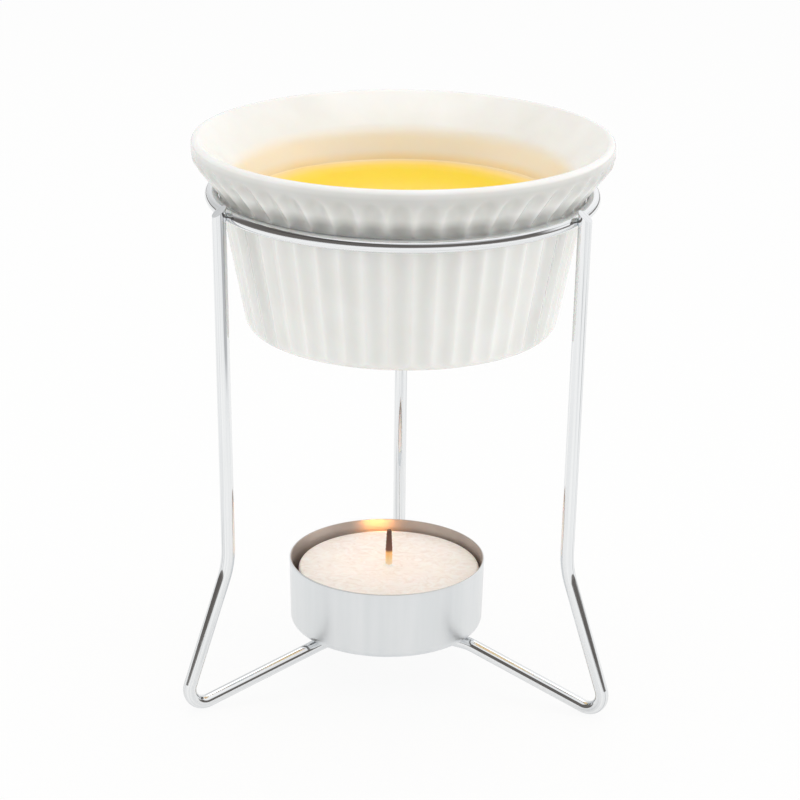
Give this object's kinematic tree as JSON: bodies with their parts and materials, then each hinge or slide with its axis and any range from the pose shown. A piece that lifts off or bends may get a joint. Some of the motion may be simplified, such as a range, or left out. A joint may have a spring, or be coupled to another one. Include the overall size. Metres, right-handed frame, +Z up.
{
  "type": "butter warmer",
  "caption": "Butter warmer: a fluted porcelain dish of melted butter, held in a chromed wire stand over a tealight candle.",
  "frame": {"origin": "on the table, on the upright axis of the hoop and the dish", "axes": "+Z up; the front, where two legs stand, faces -Y; +X is to the right as seen from the front"},
  "size_m": [0.082, 0.0869, 0.1087],
  "materials": {
    "porcelain": "white, glossy glaze",
    "butter": "clear yellow, smooth and wet",
    "chromed_wire": "bright plating, faintly drawn along the wire",
    "cup_sheet": "satin, thin drawn sheet",
    "wax": "off-white, soft sheen",
    "tin": "tinned",
    "cotton": "waxed cotton, burnt at its tip"
  },
  "bodies": {
    "root": {"dish": "porcelain", "melted_butter": "butter", "hoop": "chromed_wire", "leg_back": "chromed_wire", "leg_left": "chromed_wire", "leg_right": "chromed_wire", "tealight_cup": "cup_sheet", "candle_wax": "wax", "wick_sustainer": "tin", "wick": "cotton"}
  },
  "joints": []
}
